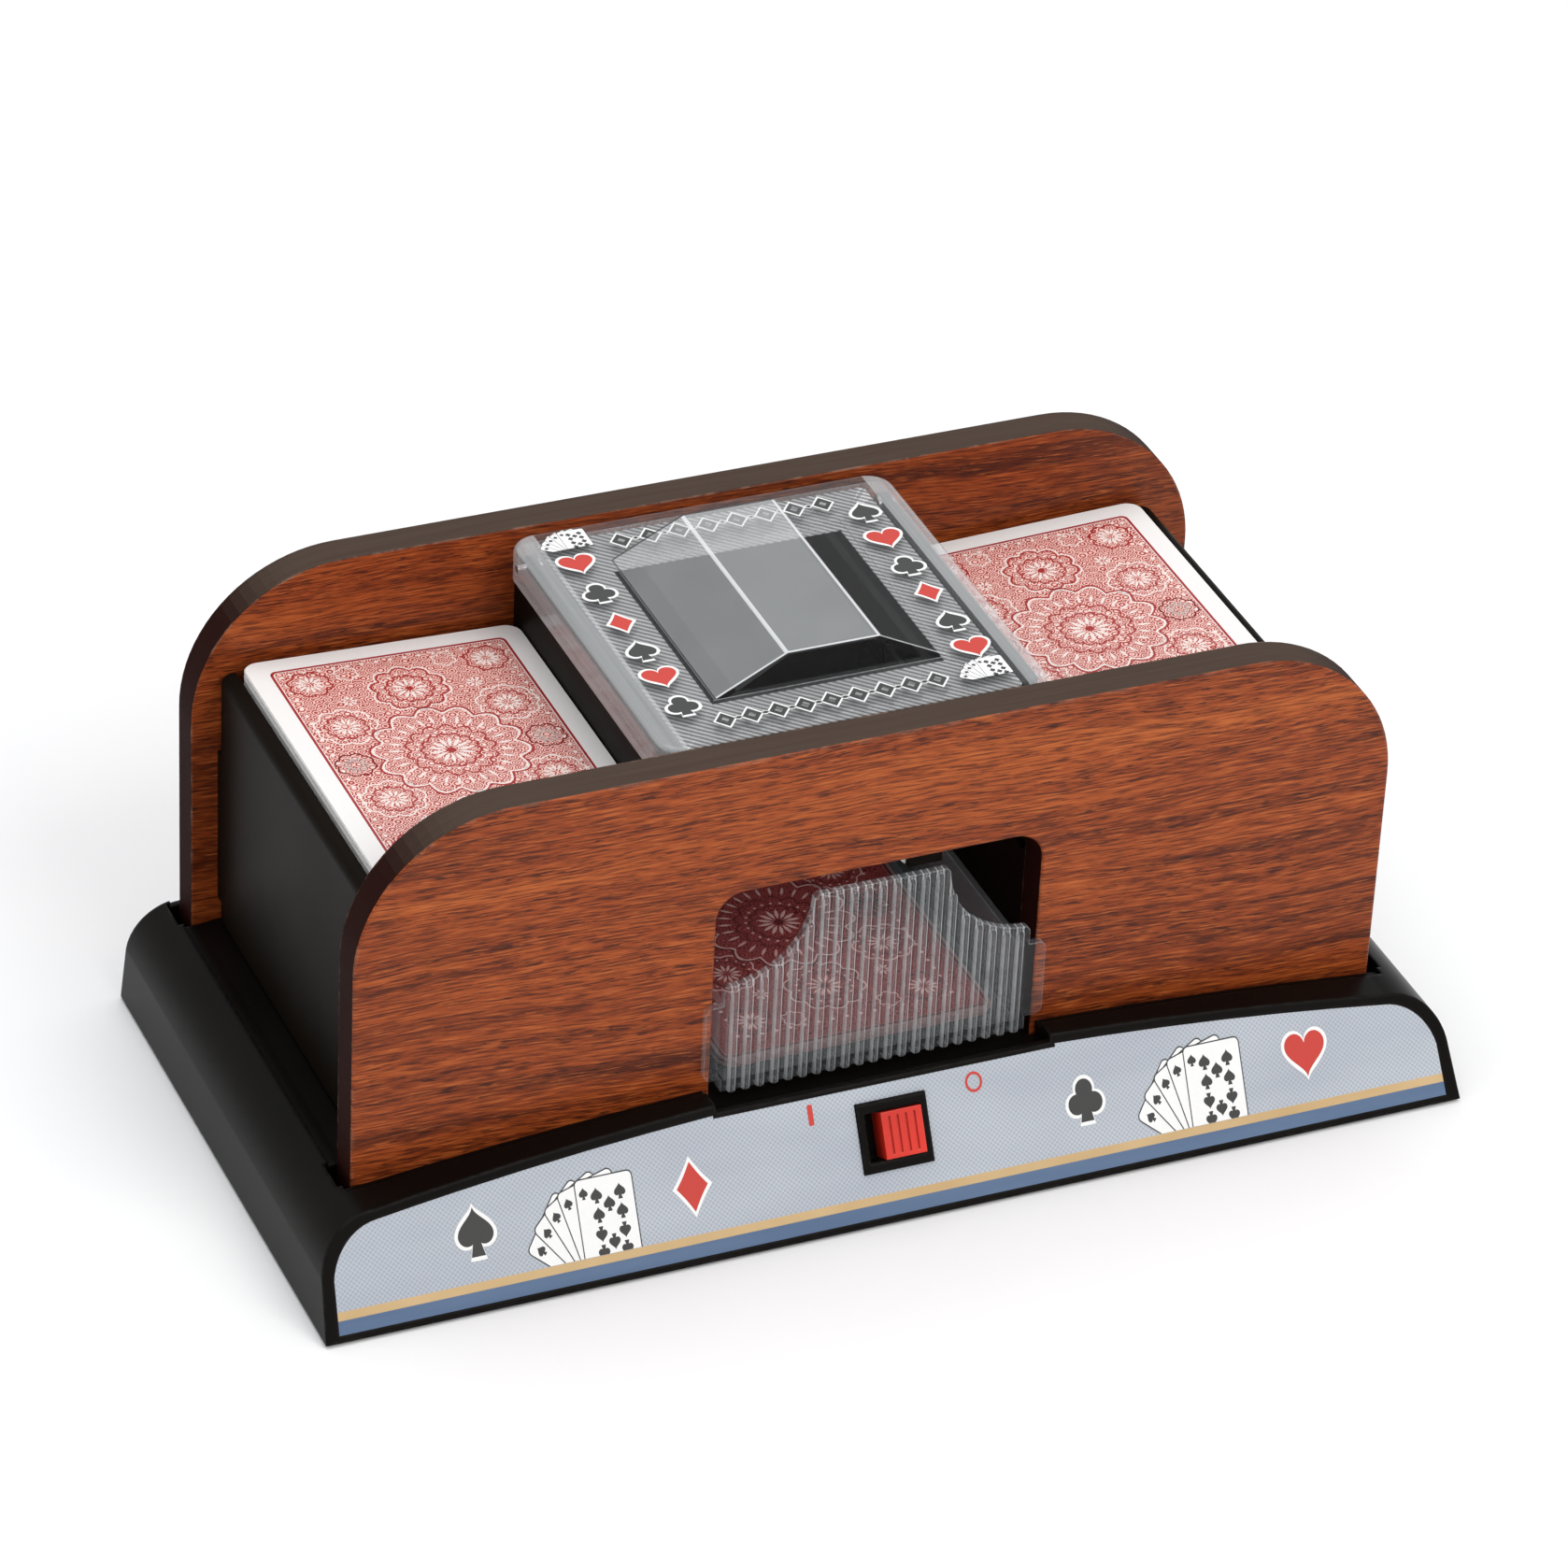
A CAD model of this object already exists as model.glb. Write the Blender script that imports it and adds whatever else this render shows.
"""Looks for a two-deck playing card machine with a clear lid and a clear tray.

It stands on z = 0 with its leaning front face towards -Y and +X to the right. Shapes are
drawn in millimetres and turned into metres as meshes; materials work in metres.
"""
import math
import random

import bpy
from mathutils import Matrix, Vector


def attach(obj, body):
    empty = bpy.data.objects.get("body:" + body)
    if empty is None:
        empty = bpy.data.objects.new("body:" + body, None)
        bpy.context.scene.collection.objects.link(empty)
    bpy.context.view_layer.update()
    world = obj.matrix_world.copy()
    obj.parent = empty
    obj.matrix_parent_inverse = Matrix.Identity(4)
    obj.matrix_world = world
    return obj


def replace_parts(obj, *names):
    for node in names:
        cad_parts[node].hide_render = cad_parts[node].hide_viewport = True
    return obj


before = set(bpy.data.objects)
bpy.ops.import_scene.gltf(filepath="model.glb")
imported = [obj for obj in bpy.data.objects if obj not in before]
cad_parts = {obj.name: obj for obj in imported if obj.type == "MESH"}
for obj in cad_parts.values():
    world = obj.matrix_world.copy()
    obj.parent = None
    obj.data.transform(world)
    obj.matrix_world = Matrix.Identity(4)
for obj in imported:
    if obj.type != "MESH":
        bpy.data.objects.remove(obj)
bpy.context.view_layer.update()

MM = 0.001
random.seed(7)

# Driving sizes, in millimetres.
FRONT_Y, FRONT_Z = -67.75, 0.6           # a point on the foot of the leaning front face
FRONT_SLOPE = 0.53                       # how far the face leans back per unit of height
MECH_X, LID_X, TRAY_X = -2.2, -2.8, -1.0   # centres of mechanism, lid and tray
DECK_Y = 10.75
CARD_WIDTH, CARD_LENGTH, CARD_CORNER = 63.5, 88.9, 3.5
LID_TOP = 109.0


# ---------------------------------------------------------------------------
# shader graphs
# ---------------------------------------------------------------------------
def srgb(*levels):
    """Linear RGBA from sRGB levels of 0 to 255."""
    parts = [level / 255.0 for level in levels]
    return (*(v / 12.92 if v <= 0.04045 else ((v + 0.055) / 1.055) ** 2.4 for v in parts), 1.0)


def tinted(color, gain, lift=0.0):
    """A linear colour made darker or lighter."""
    return [min(level * gain + lift, 1) for level in color[:3]] + [1]


class Signal:
    """An output of a shader node; arithmetic on it adds Math nodes."""

    def __init__(self, graph, socket):
        self.graph = graph
        self.socket = socket

    def __add__(self, other):
        return self.graph.math("ADD", self, other)

    def __radd__(self, other):
        return self.graph.math("ADD", other, self)

    def __sub__(self, other):
        return self.graph.math("SUBTRACT", self, other)

    def __rsub__(self, other):
        return self.graph.math("SUBTRACT", other, self)

    def __mul__(self, other):
        return self.graph.math("MULTIPLY", self, other)

    def __truediv__(self, other):
        return self.graph.math("DIVIDE", self, other)

    def __pow__(self, other):
        return self.graph.math("POWER", self, other)

    def __abs__(self):
        return self.graph.math("ABSOLUTE", self)

    def fade(self, off, on):
        """Smooth mask: 0 at the value off, 1 at the value on."""
        return self.graph.node("MapRange", {0: self, 1: off, 2: on},
                               interpolation_type="SMOOTHSTEP")


class Graph:
    """The node tree of a material or world, with short ways to add nodes."""

    def __init__(self, owner, shader="BSDF_PRINCIPLED", space="Object"):
        self.owner = owner
        owner.use_nodes = True
        self.tree = owner.node_tree
        self.shader = next(n for n in self.tree.nodes if n.type == shader)
        self.position = self.node("TexCoord", out=space)

    def put(self, socket, value):
        """Link a signal to an input, or set a plain value on it."""
        if isinstance(value, Signal):
            self.tree.links.new(value.socket, socket)
        else:
            socket.default_value = value

    def set(self, **values):
        """Set inputs of the surface or background shader."""
        for key, value in values.items():
            self.put(self.shader.inputs[key.replace("_", " ")], value)

    def node(self, kind, inputs=(), out=0, **settings):
        """Add a node and return one of its outputs."""
        node = self.tree.nodes.new("ShaderNode" + kind)
        for key, value in settings.items():
            setattr(node, key, value)
        for key, value in dict(inputs).items():
            self.put(node.inputs[key], value)
        return Signal(self, node.outputs[out])

    def math(self, operation, first, second=0.0, clamp=False):
        return self.node("Math", {0: first, 1: second, 2: 0.0},
                         operation=operation, use_clamp=clamp)

    def split(self, vector):
        separate = self.node("SeparateXYZ", {0: vector}).socket.node
        return [Signal(self, output) for output in separate.outputs]

    def normal(self):
        return self.split(self.node("NewGeometry", out="True Normal"))

    def backfacing(self):
        return self.node("NewGeometry", out="Backfacing")

    def facing(self):
        """0 face on, 1 at a glancing look."""
        return self.node("LayerWeight", {"Blend": 0.5}, out="Facing")

    def mapped(self, stretch=(1, 1, 1), vector=None, shift=(0, 0, 0), turn=(0, 0, 0)):
        return self.node("Mapping", {"Scale": stretch, "Location": shift, "Rotation": turn,
                                     "Vector": vector or self.position})

    def noise(self, scale=1.0, stretch=(1, 1, 1), detail=3.0, rough=0.5, vector=None,
              shift=(0, 0, 0)):
        return self.node("TexNoise", {"Vector": self.mapped(stretch, vector, shift),
                                      "Scale": scale, "Detail": detail, "Roughness": rough},
                         out="Fac")

    def cells(self, stretch, randomness, vector=None, turn=(0, 0, 0)):
        """Distance to the nearest point of a jittered grid."""
        return self.node("TexVoronoi", {"Vector": self.mapped(stretch, vector, turn=turn),
                                        "Scale": 1.0, "Randomness": randomness},
                         out="Distance")

    def ramp(self, factor, stops):
        signal = self.node("ValToRGB", {0: factor})
        elements = signal.socket.node.color_ramp.elements
        while len(elements) < len(stops):
            elements.new(0.5)
        for element, (position, color) in zip(elements, stops):
            element.position = position
            element.color = color
        return signal

    def mix(self, factor, first, second):
        """first where factor is 0, second where it is 1."""
        return self.node("Mix", {0: factor, 6: first, 7: second}, out=2, data_type="RGBA")

    def edges(self, radius, off=0.02, on=0.25, samples=4):
        """1 near sharp edges: how far a rounded normal turns from the flat one.

        The rounded normal is kept for bump().
        """
        self.rounded = self.node("Bevel", {"Radius": radius}, samples=samples)
        flat = self.node("NewGeometry", out="Normal")
        dot = self.node("VectorMath", {0: self.rounded, 1: flat}, out="Value",
                        operation="DOT_PRODUCT")
        return (1.0 - dot).fade(off, on)

    def bump(self, height, distance, strength, normal=None):
        inputs = {"Strength": strength, "Distance": distance, "Height": height}
        if normal is not None:
            inputs["Normal"] = normal
        return self.node("Bump", inputs)


def material(name):
    return Graph(bpy.data.materials.new(name))


# ---------------------------------------------------------------------------
# materials
# ---------------------------------------------------------------------------
def plastic(name, color, rough=0.38, grain=2200.0, depth=0.00003, wear=0.35,
            edge_radius=0.0006, worn=(150, 148, 146), specular=0.5):
    """Moulded plastic: fine grain, blotchy gloss, edges rubbed a little lighter."""
    m = material(name)
    base = srgb(*color)
    blotch = m.noise(scale=30.0, detail=4.0)
    fine = m.noise(scale=grain, detail=2.0)
    dust = m.noise(scale=420.0, detail=6.0, rough=0.7)
    edge = m.edges(edge_radius)
    body = m.mix(blotch.fade(off=0.3, on=0.7), tinted(base, gain=0.88), tinted(base, gain=1.14))
    rubbed = edge * (dust.fade(off=0.35, on=0.75) * wear)
    m.set(Base_Color=m.mix(rubbed, body, srgb(*worn)),
          Roughness=blotch * 0.14 + (rough - 0.07) + fine * 0.05,
          Normal=m.bump(fine, distance=depth, strength=0.35, normal=m.rounded),
          Specular_IOR_Level=specular)
    return m


def metal(name, color, rough=0.28, stretch=(40.0, 3000.0, 3000.0)):
    """Metal with a grain stretched along x, and paler edges."""
    m = material(name)
    base = srgb(*color)
    brush = m.noise(stretch=stretch, detail=4.0, rough=0.6)
    blotch = m.noise(scale=90.0)
    edge = m.edges(radius=0.0003)
    body = m.mix(brush, tinted(base, gain=0.8), base)
    m.set(Base_Color=m.mix(edge * 0.3, body, (0.9, 0.9, 0.9, 1)),
          Metallic=1.0,
          Roughness=brush * 0.18 + (blotch * 0.1 + (rough - 0.1)),
          Normal=m.bump(brush, distance=0.00001, strength=0.3, normal=m.rounded))
    return m


def wood():
    m = material("wood_laminate")
    x, y, z = m.split(m.position)
    _, normal_y, normal_z = m.normal()
    # slow wander so the grain lines drift up and down along the panel
    slow = m.noise(stretch=(6.0, 20.0, 16.0), shift=(0.3, 0, 0.1), detail=2.0)
    quick = m.noise(stretch=(22.0, 30.0, 60.0), detail=2.0)
    drift_z = z + (slow - 0.5) * 0.012 + (quick - 0.5) * 0.0024 + x * 0.035
    grain = m.node("CombineXYZ", {0: x, 1: y, 2: drift_z})
    broad = m.noise(vector=grain, stretch=(3.5, 40.0, 70.0), rough=0.55)
    middle = m.noise(vector=grain, stretch=(9.0, 60.0, 360.0), detail=4.0, rough=0.6)
    fine = m.noise(vector=grain, stretch=(120.0, 400.0, 2300.0), rough=0.6)
    pores = m.noise(vector=grain, stretch=(230.0, 900.0, 2600.0), detail=2.0)
    color = m.ramp(broad * 0.52 + middle * 0.48, [
        (0.32, srgb(84, 32, 12)), (0.42, srgb(116, 49, 18)), (0.50, srgb(141, 62, 24)),
        (0.59, srgb(157, 74, 30)), (0.70, srgb(174, 90, 40))])
    dark = middle.fade(off=0.46, on=0.30) * broad.fade(off=0.60, on=0.36)
    color = m.mix(dark * 0.6, color, srgb(72, 27, 12))
    color = m.mix(fine.fade(off=0.52, on=0.38) * 0.74, color, srgb(70, 27, 13))
    color = m.mix(fine.fade(off=0.53, on=0.68) * 0.55, color, srgb(190, 106, 52))
    pore = pores.fade(off=0.46, on=0.36) * middle.fade(off=0.64, on=0.44)
    color = m.mix(pore * 0.8, color, srgb(48, 19, 10))
    # edge band: grey-brown along the top, dark red-brown on the ends
    face = abs(normal_y).fade(off=0.35, on=0.62)
    band_noise = m.noise(stretch=(30.0, 900.0, 30.0))
    upward = normal_z.fade(off=0.62, on=0.98)
    band = m.mix(upward, srgb(34, 11, 8), srgb(78, 66, 58))
    band = m.mix(band_noise * 0.4, band, srgb(38, 18, 12))
    chips = m.noise(stretch=(160.0, 160.0, 160.0), detail=5.0, rough=0.7)
    edge = m.edges(radius=0.0009, off=0.02, on=0.2)
    worn = edge * (chips.fade(off=0.45, on=0.66) * 0.7)
    relief = fine * 0.6 + pore * -0.8
    m.set(Base_Color=m.mix(worn, m.mix(face, band, color), srgb(176, 140, 118)),
          Roughness=pores * 0.12 + (broad * 0.1 + 0.30) + (1.0 - face) * 0.25,
          Normal=m.bump(relief, distance=0.00006, strength=0.4, normal=m.rounded),
          Specular_IOR_Level=0.03 + face * 0.17)
    return m


def label_print():
    """Pale blue-grey sheet with a halftone, a yellow line and a blue band at the foot."""
    m = material("label_print")
    x, _, z = m.split(m.position)
    # 1.132 stretches z to lengths along the leaning face
    on_face = m.node("CombineXYZ", {0: x, 1: z * 1.132})
    dots = m.cells(stretch=(1250.0, 1250.0, 1.0), randomness=0.0, vector=on_face,
                   turn=(0.0, 0.0, 0.785))
    patch = m.noise(stretch=(22.0, 22.0, 70.0))
    sheet = m.mix(patch.fade(off=0.3, on=0.7), srgb(172, 177, 186), srgb(184, 189, 196))
    sheet = m.mix(dots.fade(off=0.46, on=0.26) * 0.42, sheet, srgb(118, 127, 140))
    blue_noise = m.noise(stretch=(16.0, 16.0, 200.0), detail=4.0)
    blue = m.mix(blue_noise, srgb(60, 84, 118), srgb(98, 120, 148))
    yellow_noise = m.noise(stretch=(60.0, 60.0, 60.0))
    yellow = m.mix(yellow_noise, srgb(206, 178, 134), srgb(184, 150, 100))
    color = m.mix(z.fade(off=0.0063, on=0.00615), sheet, yellow)
    color = m.mix(z.fade(off=0.00465, on=0.0045), color, blue)
    cut_edge = m.normal()[1].fade(off=-0.5, on=-0.2)
    sheen = m.noise(scale=900.0)
    m.set(Base_Color=m.mix(cut_edge, color, srgb(205, 205, 205)),
          Roughness=sheen * 0.15 + 0.33,
          Specular_IOR_Level=0.4,
          Normal=m.bump(sheen, distance=0.00001, strength=0.3))
    return m


def lid_print():
    """Grey sheet with a fine diagonal hatch."""
    m = material("lid_print")
    hatch = m.node("TexWave", {"Vector": m.mapped(), "Scale": 330.0, "Distortion": 0.0,
                               "Detail": 0.0, "Detail Scale": 1.0},
                   out="Fac", bands_direction="DIAGONAL")
    patch = m.noise(stretch=(40.0, 40.0, 40.0))
    ground = m.mix(patch, srgb(104, 104, 104), srgb(118, 118, 118))
    sheen = m.noise(scale=1200.0, detail=2.0)
    m.set(Base_Color=m.mix(hatch.fade(off=0.35, on=0.65), ground, srgb(192, 193, 194)),
          Roughness=sheen * 0.2 + 0.36,
          Normal=m.bump(sheen, distance=0.00001, strength=0.3))
    return m


def ink(name, *color):
    m = material(name)
    base = srgb(*color)
    fine = m.noise(scale=1500.0, rough=0.6)
    patch = m.noise(scale=120.0)
    speckled = m.mix(fine * 0.35, base, tinted(base, gain=1.25, lift=0.01))
    m.set(Base_Color=m.mix(patch * 0.2, speckled, tinted(base, gain=0.8)),
          Roughness=fine * 0.12 + 0.36,
          Normal=m.bump(fine, distance=0.000005, strength=0.2))
    return m


def paper(name, shade=1.0):
    """Card stock with fine level lines on its sides; a low shade darkens and reddens it."""
    m = material(name)
    normal_z = m.normal()[2]
    fibre = m.noise(scale=2600.0, detail=4.0, rough=0.6)
    lines = m.noise(stretch=(6.0, 6.0, 5200.0), detail=2.0)
    side = abs(normal_z).fade(off=0.9, on=0.4)

    def tint(red, green, blue):
        return srgb(red * shade, green * shade ** 1.4, blue * shade ** 1.4)

    color = m.mix(fibre * 0.25, tint(232, 230, 228), tint(206, 203, 200))
    side_lines = side * (lines.fade(off=0.35, on=0.65) * 0.4)
    m.set(Base_Color=m.mix(side_lines, color, tint(150, 146, 142)),
          Roughness=fibre * 0.15 + 0.36,
          Normal=m.bump(fibre, distance=0.000008, strength=0.3))
    return m


def clear_tray():
    """Clear acrylic: open face on, closing up at a glancing look and along its edges."""
    m = material("clear_tray")
    glancing = m.facing() ** 2.8
    smear = m.noise(scale=55.0, detail=4.0, rough=0.6)
    scratches = m.noise(stretch=(900.0, 60.0, 900.0), rough=0.6)
    alpha = 0.02 + glancing * 0.68
    alpha = alpha + smear.fade(off=0.6, on=0.85) * 0.03
    edge = m.edges(radius=0.0007, off=0.03, on=0.4)
    alpha = m.math("ADD", alpha, edge * 0.35, clamp=True)
    color = m.mix(smear * 0.3, srgb(206, 212, 215), srgb(184, 190, 193))
    outside = 1.0 - m.backfacing() * 0.75
    # the moulded ribs of the front wall catch the light along their flanks
    rib_pitch = 0.0033
    x, y, _ = m.split(m.position)
    rib = (x - TRAY_X * MM) / rib_pitch
    # 0 on a rib's crest, 0.5 halfway to the next; 100 keeps the fraction's input positive
    off_crest = abs(m.math("FRACT", rib + 100.5) - 0.5)
    flank = off_crest.fade(off=0.10, on=0.19) * off_crest.fade(off=0.33, on=0.25)
    crest = off_crest.fade(off=0.09, on=0.02) * 0.35
    front = (y.fade(off=-0.0447, on=-0.0450)
             * abs(x - TRAY_X * MM).fade(off=0.0352, on=0.0346))
    streak = m.noise(stretch=(40.0, 40.0, 240.0), rough=0.6)
    glint = front * (flank + crest)
    alpha = m.math("ADD", alpha, glint * (0.14 + streak * 0.42), clamp=True)
    m.set(Base_Color=m.mix(glint * 0.8, color, srgb(226, 228, 228)),
          Alpha=alpha * outside,
          Roughness=scratches * 0.08 + 0.06,
          Specular_IOR_Level=0.8, IOR=1.49, Coat_Weight=0.5, Coat_Roughness=0.04,
          Normal=m.bump(scratches, distance=0.000006, strength=0.2, normal=m.rounded))
    return m


def clear_lid():
    """Clear lid: open over the printed sheet, a grey sheen on the raised window,
    streaky rim and skirt."""
    m = material("clear_lid")
    x, y, z = m.split(m.position)
    level = abs(m.normal()[2])
    from_middle = x - LID_X * MM
    aside = abs(from_middle)
    facing = m.facing()
    smear = m.noise(scale=55.0, detail=4.0, rough=0.6)
    streak = m.noise(stretch=(700.0, 9.0, 700.0), rough=0.6)
    scratches = m.noise(stretch=(300.0, 40.0, 300.0), detail=2.0)
    edge = m.edges(radius=0.0006, off=0.03, on=0.4, samples=8)
    window = z.fade(off=0.1091, on=0.1093)
    right_flank = window * from_middle.fade(off=0.0105, on=0.0110)
    left_flank = window * from_middle.fade(off=-0.0105, on=-0.0110)
    alpha = 0.02 + facing ** 3.2 * 0.5 * (1.0 - right_flank * 0.9)
    sheen = ((0.23 + smear * 0.12) * (1.0 - right_flank * 0.95) * (1.0 - left_flank * 0.10)
             * level.fade(off=0.2, on=0.4))
    alpha = alpha + window * sheen
    below = 1.0 - window
    rim = below * aside.fade(off=0.0386, on=0.0390) * level.fade(off=0.4, on=0.7)
    skirt = below * level.fade(off=0.6, on=0.3)
    alpha = alpha + rim * (0.22 + streak * 0.30)
    alpha = alpha + skirt * (0.12 + streak * 0.45)
    alpha = m.math("ADD", alpha, edge * 0.30, clamp=True)
    # thin bright and dark lines where the window's faces meet
    ridge = (abs(aside - 0.0106).fade(off=0.00055, on=0.0003)
             * z.fade(off=0.1169, on=0.1172))
    front = window * y.fade(off=-0.0183, on=-0.0186)
    back = window * y.fade(off=0.0393, on=0.0396)
    foot = window * (z.fade(off=0.1099, on=0.1095) * aside.fade(off=0.0262, on=0.0266))
    upper = level.fade(off=0.2, on=0.4)
    bright = m.math("MAXIMUM", ridge, front) * upper
    dark = m.math("MAXIMUM", back, foot) * upper
    color = m.mix(smear * 0.3, srgb(204, 207, 208), srgb(184, 187, 188))
    color = m.mix(bright, color, srgb(226, 228, 230))
    color = m.mix(dark, color, srgb(34, 34, 36))
    alpha = m.math("ADD", alpha, m.math("MAXIMUM", bright, dark) * 0.45, clamp=True)
    m.set(Base_Color=color,
          Alpha=alpha * (1.0 - m.backfacing() * 0.85),
          Roughness=scratches * 0.06 + 0.05,
          Specular_IOR_Level=0.7, IOR=1.49, Coat_Weight=0.4, Coat_Roughness=0.04,
          Normal=m.bump(scratches, distance=0.000003, strength=0.15))
    return m


def engraved(name, dark, pale):
    """Fine two-colour rings: the ground of the card backs."""
    m = material(name)
    cells = m.cells(stretch=(470.0, 470.0, 60.0), randomness=0.35)
    rings = m.math("SINE", cells * 26.0)
    noise = m.noise(scale=700.0)
    lines = (rings + (noise - 0.5) * 0.8).fade(off=-0.35, on=0.3)
    m.set(Base_Color=m.mix(lines, srgb(*dark), srgb(*pale)),
          Roughness=noise * 0.12 + 0.34,
          Normal=m.bump(lines, distance=0.000004, strength=0.2))
    return m


MATERIALS = {
    "black": plastic("black_satin", (12, 9, 7), rough=0.30, edge_radius=0.0011, wear=0.22,
                     worn=(104, 100, 98), specular=0.08),
    "chassis": plastic("black_chassis", (17, 12, 8), rough=0.40, wear=0.2, worn=(92, 88, 84),
                       specular=0.03),
    "grey": plastic("grey_textured", (44, 44, 46), rough=0.55, grain=900.0, depth=0.00008,
                    wear=0.25),
    "rubber": plastic("rubber_matt", (36, 35, 35), rough=0.78, grain=700.0, depth=0.00006,
                      wear=0.15),
    "tyre": plastic("tyre_rubber", (40, 38, 36), rough=0.7, grain=500.0, depth=0.00006,
                    wear=0.15),
    "nylon": plastic("white_nylon", (226, 224, 216), rough=0.32, grain=900.0, depth=0.00001,
                     wear=0.2, edge_radius=0.0004, worn=(240, 240, 236)),
    "red": plastic("red_gloss", (206, 44, 28), rough=0.22, grain=700.0, depth=0.00001,
                   wear=0.3, edge_radius=0.0004, worn=(240, 140, 120)),
    "wire": plastic("wire_red", (170, 34, 26), rough=0.35, grain=900.0, depth=0.00001,
                    wear=0.1, edge_radius=0.0002),
    "cell": plastic("cell_wrap", (48, 62, 84), rough=0.25, grain=300.0, depth=0.00001,
                    wear=0.25, edge_radius=0.0003),
    "steel": metal("steel_brushed", (198, 198, 200), rough=0.3),
    "zinc": metal("zinc_plated", (205, 205, 206), rough=0.2, stretch=(600.0, 600.0, 600.0)),
    "brass": metal("brass_satin", (214, 182, 108), stretch=(900.0, 900.0, 900.0)),
    "wood": wood(),
    "label": label_print(),
    "lid_print": lid_print(),
    "paper": paper("card_paper"),
    "paper_deep": paper("card_paper_deep", shade=0.55),
    "lid": clear_lid(),
    "tray": clear_tray(),
    "ink_dark": ink("ink_dark", 48, 48, 47),
    "ink_red": ink("ink_red", 190, 50, 38),
    "ink_white": ink("ink_white", 232, 232, 230),
    "ink_card": ink("ink_card_red", 150, 26, 24),
    "ink_wash": engraved("ink_card_ground", dark=(150, 26, 22), pale=(234, 192, 182)),
    "ink_pale": ink("ink_card_pale", 226, 214, 208),
    "ink_wash_deep": engraved("ink_card_ground_deep", dark=(88, 8, 12), pale=(146, 66, 64)),
    "ink_card_deep": ink("ink_card_red_deep", 78, 8, 12),
    "ink_pale_deep": ink("ink_card_pale_deep", 190, 150, 146),
}

# CAD pieces by material; * stands for left and right.
PIECES = {
    "black": "base_shell switch_housing",
    "chassis": "hopper_chassis",
    "grey": "base_plate battery_door battery_holder tray_rails",
    "rubber": "rubber_feet",
    "tyre": "*_roller_tyres",
    "nylon": "chute_bumper *_roller_gear *_roller_hubs *_idler_gear",
    "red": "switch_button",
    "wire": "wires",
    "cell": "batteries",
    "steel": "battery_springs battery_contacts exit_gates idler_axles motor_brackets "
             "lid_hinge_pins *_motor *_roller_shaft *_motor_shaft",
    "zinc": "base_screws battery_door_screw panel_screws chassis_screws gate_screws "
            "motor_screws",
    "brass": "roller_bushes *_motor_pinion",
    "wood": "front_panel rear_panel",
    "label": "front_label",
    "lid_print": "lid_label",
    "paper": "tray_cards *_deck",
    "lid": "lid_cover",
    "tray": "tray",
}
piece_materials = {piece.replace("*", side): key
                   for key, pieces in PIECES.items()
                   for piece in pieces.split()
                   for side in ("left", "right")}
for piece, piece_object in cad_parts.items():
    piece_object.data.materials.clear()
    piece_object.data.materials.append(MATERIALS[piece_materials[piece]].owner)


# ---------------------------------------------------------------------------
# flat prisms for the printed marks and the separate cards
# ---------------------------------------------------------------------------
class Sheet:
    """Collects flat prisms in millimetres; place(u, v, height) puts them in space."""

    def __init__(self, place):
        self.place = place
        self.vertices = []
        self.faces = []

    def add_points(self, outline, height):
        self.vertices += [self.place(u, v, height) for u, v in outline]

    def prism(self, outline, bottom, top):
        count, first = len(outline), len(self.vertices)
        following = outline[1:] + outline[:1]
        if sum(p[0] * q[1] - q[0] * p[1] for p, q in zip(outline, following)) < 0:
            outline = outline[::-1]
        for height in (bottom, top):
            self.add_points(outline, height)
        self.faces.append(tuple(first + i for i in range(count - 1, -1, -1)))
        self.faces.append(tuple(first + count + i for i in range(count)))
        for i in range(count):
            j = (i + 1) % count
            self.faces.append((first + i, first + j, first + count + j, first + count + i))

    def band(self, outer, inner, bottom, top):
        """Prism between two outlines with the same number of points."""
        count, first = len(outer), len(self.vertices)
        for height in (bottom, top):
            self.add_points(outer, height)
            self.add_points(inner, height)
        outer_low, inner_low, outer_top, inner_top = (first + count * k for k in range(4))
        for i in range(count):
            j = (i + 1) % count
            self.faces += [
                (outer_top + i, outer_top + j, inner_top + j, inner_top + i),
                (outer_low + j, outer_low + i, inner_low + i, inner_low + j),
                (outer_low + i, outer_low + j, outer_top + j, outer_top + i),
                (inner_low + j, inner_low + i, inner_top + i, inner_top + j)]

    def make(self, name, material_key, body, slot):
        mesh = bpy.data.meshes.new(name)
        mesh.from_pydata([(x * MM, y * MM, z * MM) for x, y, z in self.vertices], [],
                         self.faces)
        mesh.validate()
        mesh.materials.append(MATERIALS[material_key].owner)
        made = bpy.data.objects.new(name, mesh)
        bpy.context.scene.collection.objects.link(made)
        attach(made, body)
        return made


def turns(count):
    """Angles evenly round a full turn."""
    return [2 * math.pi * i / count for i in range(count)]


def polar(x, y, radius, angle):
    return (x + radius * math.cos(angle), y + radius * math.sin(angle))


def circle(x, y, radius, count=24):
    return [polar(x, y, radius, angle) for angle in turns(count)]


def rounded_rect(x0, y0, x1, y1, radius, steps=5):
    corners = ((x1 - radius, y1 - radius, 0), (x0 + radius, y1 - radius, 90),
               (x0 + radius, y0 + radius, 180), (x1 - radius, y0 + radius, 270))
    return [polar(x, y, radius, math.radians(start + 90 * i / steps))
            for x, y, start in corners for i in range(steps + 1)]


def placed(outline, x, y, scale=1.0, turn=0.0):
    """An outline turned, scaled and moved to x, y."""
    c, s = math.cos(turn), math.sin(turn)
    return [(x + scale * (u * c - v * s), y + scale * (u * s + v * c)) for u, v in outline]


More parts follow.
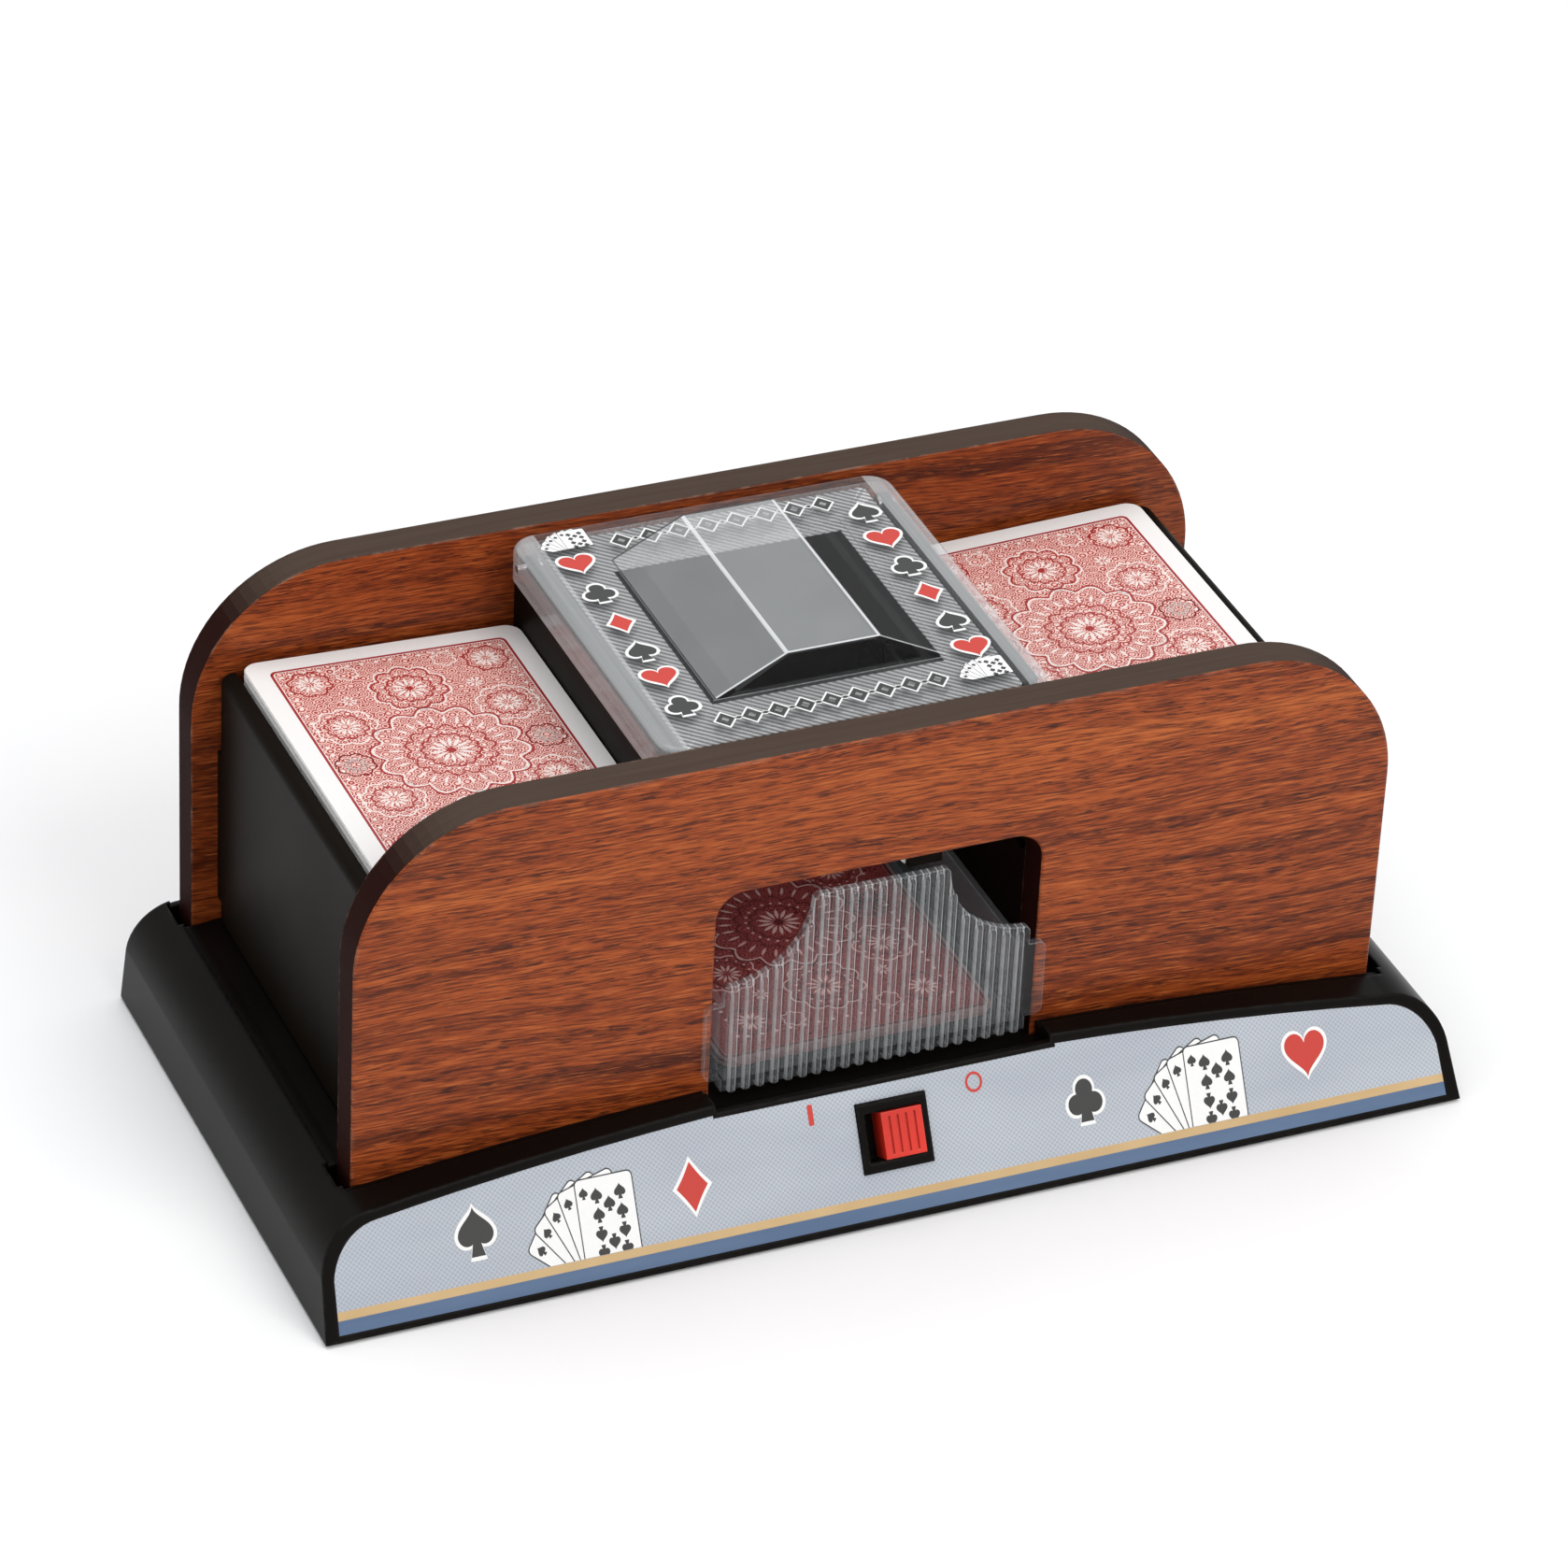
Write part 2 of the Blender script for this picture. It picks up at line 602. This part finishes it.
def reach(outlines, center, angle):
    """Distance from center to the farthest edge that a ray at this angle meets."""
    dx, dy = math.cos(angle), math.sin(angle)
    farthest = 0.0
    for outline in outlines:
        for (x0, y0), (x1, y1) in zip(outline, outline[1:] + outline[:1]):
            edge_x, edge_y = x1 - x0, y1 - y0
            from_x, from_y = x0 - center[0], y0 - center[1]
            cross = dx * edge_y - dy * edge_x
            if abs(cross) < 1e-12:
                continue
            distance = (from_x * edge_y - from_y * edge_x) / cross
            along = (from_x * dy - from_y * dx) / cross
            if distance > farthest and -1e-9 <= along <= 1 + 1e-9:
                farthest = distance
    return farthest


def union(outlines, center, grow=0.0):
    """Outline round shapes that can all be seen from center, pushed out by grow."""
    return [polar(*center, reach(outlines, center, angle) + grow, angle)
            for angle in turns(72)]


def heart(scale, flip=1.0):
    return [(16 * math.sin(t) ** 3 * scale,
             flip * (13 * math.cos(t) - 5 * math.cos(2 * t) - 2 * math.cos(3 * t)
                     - math.cos(4 * t) + 2.5) * scale)
            for t in turns(48)]


def diamond(grow):
    """Rhombus with slightly hollow sides."""
    tall, wide = 0.5 + grow * 1.3, 0.37 + grow * 1.2
    tips = [(wide, 0), (0, tall), (-wide, 0), (0, -tall)]
    outline = []
    for (x0, y0), (x1, y1) in zip(tips, tips[1:] + tips[:1]):
        for i in range(8):
            t = i / 8
            hollow = 1 - 0.05 * math.sin(math.pi * t)
            outline.append(((x0 + (x1 - x0) * t) * hollow, (y0 + (y1 - y0) * t) * hollow))
    return outline


# x, y of the foot shared by spade and club
STEM = [(-0.05, 0.0), (-0.07, -0.32), (-0.20, -0.50), (0.20, -0.50), (0.07, -0.32), (0.05, 0.0)]
# x, y, radius of the club's discs
CLUB_DISCS = [(0.0, 0.235, 0.235), (-0.235, -0.09, 0.235), (0.235, -0.09, 0.235), (0, 0, 0.16)]


def suit(kind, grow=0.0):
    """Outline about one unit high, centred on the origin."""
    if kind == "heart":
        return union([heart(scale=0.0335)], (0.0, 0.05), grow)
    if kind == "diamond":
        return diamond(grow)
    if kind == "spade":
        body = placed(heart(scale=0.0315, flip=-1.0), 0, 0.12, scale=0.86)
        return union([body, STEM], (0.0, -0.02), grow)
    return union([circle(*disc) for disc in CLUB_DISCS] + [STEM], (0.0, 0.0), grow)


# ---------------------------------------------------------------------------
# printed marks
# ---------------------------------------------------------------------------
def ink_sheets(place):
    return {color: Sheet(place) for color in ("dark", "red", "white")}


def make_marks(sheets, name, body, slot):
    for color, sheet in sheets.items():
        sheet.make(f"{name}_{color}", f"ink_{color}", body, slot)


def suit_mark(sheets, kind, x, y, size, halo, bottom, white_top, ink_top):
    """A suit over a white one that is larger by halo."""
    color = "red" if kind in ("heart", "diamond") else "dark"
    sheets["white"].prism(placed(suit(kind, halo), x, y, size), bottom, white_top)
    sheets[color].prism(placed(suit(kind), x, y, size), bottom, ink_top)


def clip_low(outline, level):
    """The part of an outline above level."""
    kept = []
    for p, q in zip(outline, outline[1:] + outline[:1]):
        if p[1] >= level:
            kept.append(p)
        if (p[1] >= level) != (q[1] >= level):
            t = (level - p[1]) / (q[1] - p[1])
            kept.append((p[0] + (q[0] - p[0]) * t, level))
    return kept


FAN_ANGLES = (53, 40, 27, 14, 0)   # degrees, from the rearmost card to the front one
FAN_LIFT, FAN_STEP = 0.03, 0.018   # top of the rearmost card, rise per card
FAN_BORDER = rounded_rect(-5.35, -0.25, 7.85, 18.25, 1.2)
FAN_FACE = rounded_rect(-5.1, 0.0, 7.6, 18.0, 1.0)
# x, y, size of the front card's pips; a negative size turns a pip upside down
FAN_PIPS = [(x, y, size) for x in (-0.7, 4.6)
            for y, size in ((14.6, 3.0), (10.9, 3.0), (7.2, -3.0), (3.7, -3.0))]
FAN_PIPS += [(1.95, 12.7, 3.0), (1.95, 5.4, -3.0)]


def fan(sheets, x, y, scale, cut):
    """Five cards spread to the left from a pivot at x, y and cut off level above it."""
    def lay(color, outline, degrees, top):
        outline = clip_low(placed(outline, 0, 0, turn=math.radians(degrees)), cut)
        if len(outline) > 2:
            sheets[color].prism(placed(outline, x, y, scale), 0.01, top)

    for k, degrees in enumerate(FAN_ANGLES):
        top = FAN_LIFT + FAN_STEP * k
        lay("dark", FAN_BORDER, degrees, top)
        lay("white", FAN_FACE, degrees, top + 0.008)
        lay("dark", placed(suit("spade"), -3.5, 15.4, 2.3), degrees, top + 0.014)
    for pip_x, pip_y, size in FAN_PIPS:
        lay("dark", placed(suit("spade"), pip_x, pip_y, size), 0, top + 0.016)


# Leaning front face.
FRONT_INSET = 0.08   # shift of the prints towards +Y
FRONT_NORMAL = Vector((0.0, -1.0, FRONT_SLOPE)).normalized()
# kind, x, z, height
FRONT_SUITS = [("spade", -96.7, 15.6, 9.2), ("diamond", -47.7, 15.4, 9.6),
               ("club", 44.0, 16.0, 8.6), ("heart", 97.0, 15.6, 9.0)]


def front_place(x, z, height):
    y = FRONT_Y + FRONT_SLOPE * (z - FRONT_Z) + FRONT_INSET
    return tuple(Vector((x, y, z)) + FRONT_NORMAL * height)


def front_marks():
    sheets = ink_sheets(front_place)
    for kind, x, z, size in FRONT_SUITS:
        suit_mark(sheets, kind, x, z, size, halo=0.085,
                  bottom=0.01, white_top=0.03, ink_top=0.05)
    fan(sheets, x=-68.5, y=3.0, scale=1.0, cut=3.3)
    fan(sheets, x=73.6, y=3.2, scale=1.03, cut=3.0)
    # plain marks either side of the switch: a bar on the left and a ring on the right
    sheets["red"].prism(rounded_rect(-19.6, 22.0, -18.4, 26.0, 0.3), 0.01, 0.04)
    sheets["red"].band(circle(19.0, 23.8, 2.0, 32), circle(19.0, 23.8, 1.45, 32), 0.01, 0.04)
    make_marks(sheets, "label_marks", "frame", "label")


# Sheet under the clear top of the lid.
LEFT_COLUMN_X, RIGHT_COLUMN_X = LID_X - 34.0, LID_X + 33.4
# kind, y
LEFT_COLUMN = [("heart", 41.0), ("club", 28.6), ("diamond", 15.9),
               ("spade", 4.0), ("heart", -7.0), ("club", -18.6)]
RIGHT_COLUMN = [("spade", 41.0), ("heart", 29.4), ("club", 17.6),
                ("diamond", 6.2), ("spade", -6.2), ("heart", -17.4)]
# back and front ornament: y, first x, last x, number of lozenges
LOZENGE_ROWS = [(47.2, LID_X - 21.5, LID_X + 26.0, 8), (-26.6, LID_X - 27.5, LID_X + 21.0, 9)]
# half width, half height of a lozenge's outlines
LOZENGE_HALO, LOZENGE_OUTER, LOZENGE_INNER = (2.75, 3.3), (2.2, 2.65), (1.0, 1.2)
LID_MARK_BOTTOM, LID_WHITE_TOP, LID_INK_TOP = 0.005, 0.02, 0.035


def lozenge(x, y, half):
    return [(x - half[0], y), (x, y + half[1]), (x + half[0], y), (x, y - half[1])]


def lid_marks():
    sheets = ink_sheets(lambda x, y, height: (x, y, LID_TOP + height))
    dark, white = sheets["dark"], sheets["white"]
    white_span = (LID_MARK_BOTTOM, LID_WHITE_TOP)
    ink_span = (LID_MARK_BOTTOM, LID_INK_TOP)
    for column, x in ((LEFT_COLUMN, LEFT_COLUMN_X), (RIGHT_COLUMN, RIGHT_COLUMN_X)):
        for kind, y in column:
            suit_mark(sheets, kind, x, y, size=7.2, halo=0.10, bottom=LID_MARK_BOTTOM,
                      white_top=LID_WHITE_TOP, ink_top=LID_INK_TOP)
    fan(sheets, x=LEFT_COLUMN_X + 2.6, y=46.0, scale=0.47, cut=3.0)
    fan(sheets, x=RIGHT_COLUMN_X + 0.4, y=-30.6, scale=0.47, cut=3.0)
    # lozenges joined by dots
    for y, first_x, last_x, count in LOZENGE_ROWS:
        pitch = (last_x - first_x) / (count - 1)
        for i in range(count):
            x = first_x + pitch * i
            outer = lozenge(x, y, LOZENGE_OUTER)
            white.band(lozenge(x, y, LOZENGE_HALO), outer, *white_span)
            dark.band(outer, lozenge(x, y, LOZENGE_INNER), *ink_span)
            if i < count - 1:
                white.prism(circle(x + pitch / 2, y, 0.75, 14), *white_span)
                dark.prism(circle(x + pitch / 2, y, 0.5, 14), *ink_span)
    make_marks(sheets, "lid_marks", "lid", "lid_print")


front_marks()
lid_marks()

# ---------------------------------------------------------------------------
# cards: separate sheets with rounded corners and a patterned back
# ---------------------------------------------------------------------------
# Ornaments of the card back, each as shape, x, y and then
#   hub: radius, points             petals: inner radius, outer radius, count, half width
#   dots: ring radius, count, dot radius
#   line, pale (scalloped rings): radius, scallops, swell, width[, phase]
MIDDLE_ORNAMENTS = [
    ("hub", 0, 0, 1.0, 20),
    ("petals", 0, 0, 1.3, 5.0, 14, 0.42),
    ("line", 0, 0, 5.4, 14, 0.9, 0.5),
    ("dots", 0, 0, 7.3, 22, 0.36),
    ("line", 0, 0, 8.1, 14, 1.6, 0.5, math.pi / 2),
    ("petals", 0, 0, 10.4, 13.6, 28, 0.34),
    ("pale", 0, 0, 14.0, 14, 2.6, 0.55),
    ("line", 0, 0, 14.7, 14, 2.6, 0.55),
]
# repeated at +y and -y
END_ORNAMENTS = [
    ("hub", 0, 25.6, 0.8, 16),
    ("petals", 0, 25.6, 1.1, 4.0, 12, 0.36),
    ("line", 0, 25.6, 4.3, 12, 0.8, 0.45),
    ("dots", 0, 25.6, 6.0, 18, 0.33),
    ("line", 0, 25.6, 6.8, 10, 1.3, 0.45),
    ("pale", 0, 25.6, 7.5, 10, 1.3, 0.4),
]
# repeated at both signs of x and of y
QUARTER_ORNAMENTS = [
    ("petals", 18.4, 14.6, 0.8, 3.4, 12, 0.32),
    ("line", 18.4, 14.6, 3.7, 10, 0.9, 0.4),
    ("dots", 18.4, 14.6, 5.3, 16, 0.3),
    ("pale", 18.4, 14.6, 5.9, 9, 0.9, 0.4),
    ("line", 20.2, 32.8, 3.9, 8, 0.8, 0.45),
    ("petals", 20.2, 32.8, 0.7, 3.4, 12, 0.36),
    ("pale", 11.2, 34.8, 1.8, 6, 0.7, 0.35),
    ("petals", 14.4, 24.2, 0.4, 2.0, 8, 0.26),
    ("petals", 21.6, 0, 0.8, 3.4, 12, 0.32),
    ("line", 21.6, 0, 3.6, 8, 0.6, 0.4),
]
# tops of the printed shapes above the card
WASH_TOP, BEAD_TOP, PALE_TOP, DOT_TOP, LINE_TOP, HUB_TOP = 0.012, 0.02, 0.024, 0.026, 0.03, 0.032
BEAD_RADIUS, BEAD_INSET = 0.48, 6.7


def card_back(place, name, body, margin, tone):
    """Rosettes and scalloped rings in two inks, inside a frame set in by margin."""
    half_width, half_length = CARD_WIDTH / 2, CARD_LENGTH / 2
    wash, line, pale = Sheet(place), Sheet(place), Sheet(place)

    def inset_rect(inset, radius):
        return rounded_rect(-half_width + inset, -half_length + inset,
                            half_width - inset, half_length - inset, radius)

    wash.prism(inset_rect(margin + 0.8, 1.2), 0.0, WASH_TOP)
    line.band(inset_rect(margin, 1.6), inset_rect(margin + 0.6, 1.3), 0.0, LINE_TOP)

    def hub(x, y, radius, points):
        line.prism(circle(x, y, radius, points), 0.0, HUB_TOP)

    def scallops(sheet, top, x, y, radius, count, swell, width, phase=0.0):
        inner, outer = [], []
        for angle in turns(120):
            wavy = radius + swell * abs(math.sin(count * angle / 2 + phase))
            inner.append(polar(x, y, wavy, angle))
            outer.append(polar(x, y, wavy + width, angle))
        sheet.band(outer, inner, 0.0, top)

    def petals(x, y, inner, outer, count, half):
        length = outer - inner
        middle = (inner + outer) / 2
        near, far = middle - length * 0.1, middle + length * 0.22
        petal = [(inner, 0), (near, half), (far, half * 0.85),
                 (outer, 0), (far, -half * 0.85), (near, -half)]
        for angle in turns(count):
            pale.prism(placed(petal, x, y, turn=angle), 0.0, PALE_TOP)

    def dots(x, y, radius, count, dot_radius):
        for angle in turns(count):
            pale.prism(circle(*polar(x, y, radius, angle), dot_radius, 8), 0.0, DOT_TOP)

    shapes = {"hub": hub, "petals": petals, "dots": dots,
              "line": lambda *row: scallops(line, LINE_TOP, *row),
              "pale": lambda *row: scallops(pale, PALE_TOP, *row)}

    def draw(ornaments, sign_x=1, sign_y=1):
        for shape, x, y, *sizes in ornaments:
            shapes[shape](sign_x * x, sign_y * y, *sizes)

    draw(MIDDLE_ORNAMENTS)
    for sign_y in (-1, 1):
        draw(END_ORNAMENTS, sign_y=sign_y)
        for sign_x in (-1, 1):
            draw(QUARTER_ORNAMENTS, sign_x, sign_y)

    # bead chain inside the frame: 24 along each long side, 15 along each short side
    def bead(x, y):
        pale.prism(circle(x, y, BEAD_RADIUS, 8), 0.0, BEAD_TOP)

    for i in range(24):
        for sign in (-1, 1):
            bead(sign * (half_width - BEAD_INSET),
                 -half_length + 7.4 + i * (2 * half_length - 14.8) / 23)
    for i in range(15):
        for sign in (-1, 1):
            bead(-half_width + 8.8 + i * (2 * half_width - 17.6) / 14,
                 sign * (half_length - BEAD_INSET))

    wash.make(name + "_wash", "ink_wash" + tone, body, "cards")
    line.make(name + "_lines", "ink_card" + tone, body, "cards")
    pale.make(name + "_pale", "ink_pale" + tone, body, "cards")


def card_pile(name, body, node, place, count, height, jitter, seed, margin, tone=""):
    """A pile of loose cards in place of a CAD piece, with a printed back on top."""
    draws = random.Random(seed)
    sheet = Sheet(place)
    pitch = height / count
    half_width, half_length = CARD_WIDTH / 2, CARD_LENGTH / 2
    for k in range(count):
        dx, dy = draws.uniform(-jitter, jitter), draws.uniform(-jitter, jitter)
        if k == count - 1:
            dx = dy = 0.0   # the top card lies true under its print
        outline = rounded_rect(-half_width + dx, -half_length + dy,
                               half_width + dx, half_length + dy, CARD_CORNER, steps=6)
        sheet.prism(outline, k * pitch, (k + 0.86) * pitch)
    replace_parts(sheet.make(name, "paper" + tone, body, "cards"), node)
    back_height = height - 0.04
    card_back(lambda u, v, h: place(u, v, h + back_height), node + "_back", body, margin, tone)


# Decks, on floors that rise outwards; distances run outwards from the mechanism's centre.
TILT = math.radians(2.0)
FLOOR_START, FLOOR_START_Z = 40.6, 64.6
DECK_START = 43.0 + 0.66
DECK_BOTTOM_Z = FLOOR_START_Z + (DECK_START - FLOOR_START) * math.tan(TILT) + 0.78


def deck_place(sign):
    def place(u, v, height):
        across = u + CARD_WIDTH / 2
        outward = across * math.cos(TILT) - height * math.sin(TILT)
        rise = across * math.sin(TILT) + height * math.cos(TILT)
        return (MECH_X + sign * (DECK_START + outward), DECK_Y + v, DECK_BOTTOM_Z + rise)
    return place


for sign, side in ((-1, "left"), (1, "right")):
    card_pile(side + "_deck_cards", side + "_deck", side + "_deck", deck_place(sign),
              count=70, height=21.86, jitter=0.28, seed=11 + sign, margin=4.6)

# Dealt cards in the tray.
TRAY_HALF_WIDTH, TRAY_WALL, TRAY_Z = 35.4, 1.5, 28.4
DEALT_SIDE_GAP, DEALT_FLOOR_GAP, DEALT_FRONT_Y = 0.9, 0.1, -41.5
DEALT_X = TRAY_X - TRAY_HALF_WIDTH + TRAY_WALL + DEALT_SIDE_GAP + CARD_WIDTH / 2
DEALT_Y = DEALT_FRONT_Y + CARD_LENGTH / 2
DEALT_Z = TRAY_Z + TRAY_WALL + DEALT_FLOOR_GAP
card_pile("tray_dealt_cards", "tray", "tray_cards",
          lambda u, v, height: (DEALT_X + u, DEALT_Y + v, DEALT_Z + height),
          count=8, height=2.4, jitter=0.5, seed=5, margin=0.7, tone="_deep")


# ---------------------------------------------------------------------------
# floor, light, camera (metres)
# ---------------------------------------------------------------------------
FLOOR_HALF = 6.0
FLOOR_DROP = 0.0002   # keeps the floor just under the feet
LIGHT_TARGET = Vector((0, 0, 0.05))


def make_floor():
    mesh = bpy.data.meshes.new("floor")
    half = FLOOR_HALF
    mesh.from_pydata([(-half, -half, 0), (half, -half, 0), (half, half, 0), (-half, half, 0)],
                     [], [(0, 1, 2, 3)])
    floor = bpy.data.objects.new("floor", mesh)
    bpy.context.scene.collection.objects.link(floor)
    m = material("floor_pale")
    patch = m.noise(scale=3.0)
    m.set(Base_Color=m.mix(patch, (0.86, 0.86, 0.86, 1), (0.90, 0.90, 0.90, 1)),
          Roughness=0.85, Specular_IOR_Level=0.1)
    mesh.materials.append(m.owner)
    floor.location.z = -FLOOR_DROP


def make_world():
    """Pale surroundings, a little darker overhead."""
    world = bpy.data.worlds.new("studio")
    bpy.context.scene.world = world
    sky = Graph(world, shader="BACKGROUND", space="Generated")
    height = sky.split(sky.position)[2]
    sky.set(Color=sky.ramp(height, [(0.0, (0.88, 0.89, 0.90, 1)),
                                    (0.75, (0.62, 0.63, 0.65, 1))]),
            Strength=0.95)


def area_light(name, location, size, energy, color=(1, 1, 1)):
    light = bpy.data.lights.new(name, "AREA")
    light.shape = "RECTANGLE"
    light.size, light.size_y = size
    light.energy = energy
    light.color = color
    lamp = bpy.data.objects.new(name, light)
    bpy.context.scene.collection.objects.link(lamp)
    lamp.location = location
    lamp.rotation_mode = "QUATERNION"
    lamp.rotation_quaternion = (LIGHT_TARGET - Vector(location)).to_track_quat("-Z", "Y")


def make_camera():
    """Long lens from the front left, looking down, with a slight roll."""
    data = bpy.data.cameras.new("cam")
    data.sensor_width = 36.0
    data.lens = 166.63
    data.clip_start, data.clip_end = 0.05, 30.0
    camera = bpy.data.objects.new("cam", data)
    bpy.context.scene.collection.objects.link(camera)
    azimuth, elevation, roll = (math.radians(angle) for angle in (-24.42, 33.22, 2.94))
    back = Vector((math.sin(azimuth) * math.cos(elevation),
                   -math.cos(azimuth) * math.cos(elevation),
                   math.sin(elevation)))
    level_right = (-back).cross(Vector((0, 0, 1))).normalized()
    level_up = level_right.cross(-back)
    right = level_right * math.cos(roll) + level_up * math.sin(roll)
    up = level_up * math.cos(roll) - level_right * math.sin(roll)
    rotation = Matrix((right, up, back)).transposed().to_4x4()
    camera.matrix_world = Matrix.Translation((-0.5454, -1.1923, 0.9283)) @ rotation
    bpy.context.scene.camera = camera


make_floor()
make_world()
area_light("key", location=(0.45, -1.15, 1.25), size=(0.9, 0.9), energy=13.0,
           color=(1.0, 0.985, 0.96))
area_light("top", location=(-0.1, 0.35, 1.3), size=(1.1, 0.9), energy=8.0)
area_light("left_fill", location=(-1.3, -0.2, 0.7), size=(0.8, 0.8), energy=1.2,
           color=(0.96, 0.98, 1.0))
make_camera()
bpy.context.scene.view_settings.view_transform = "Standard"
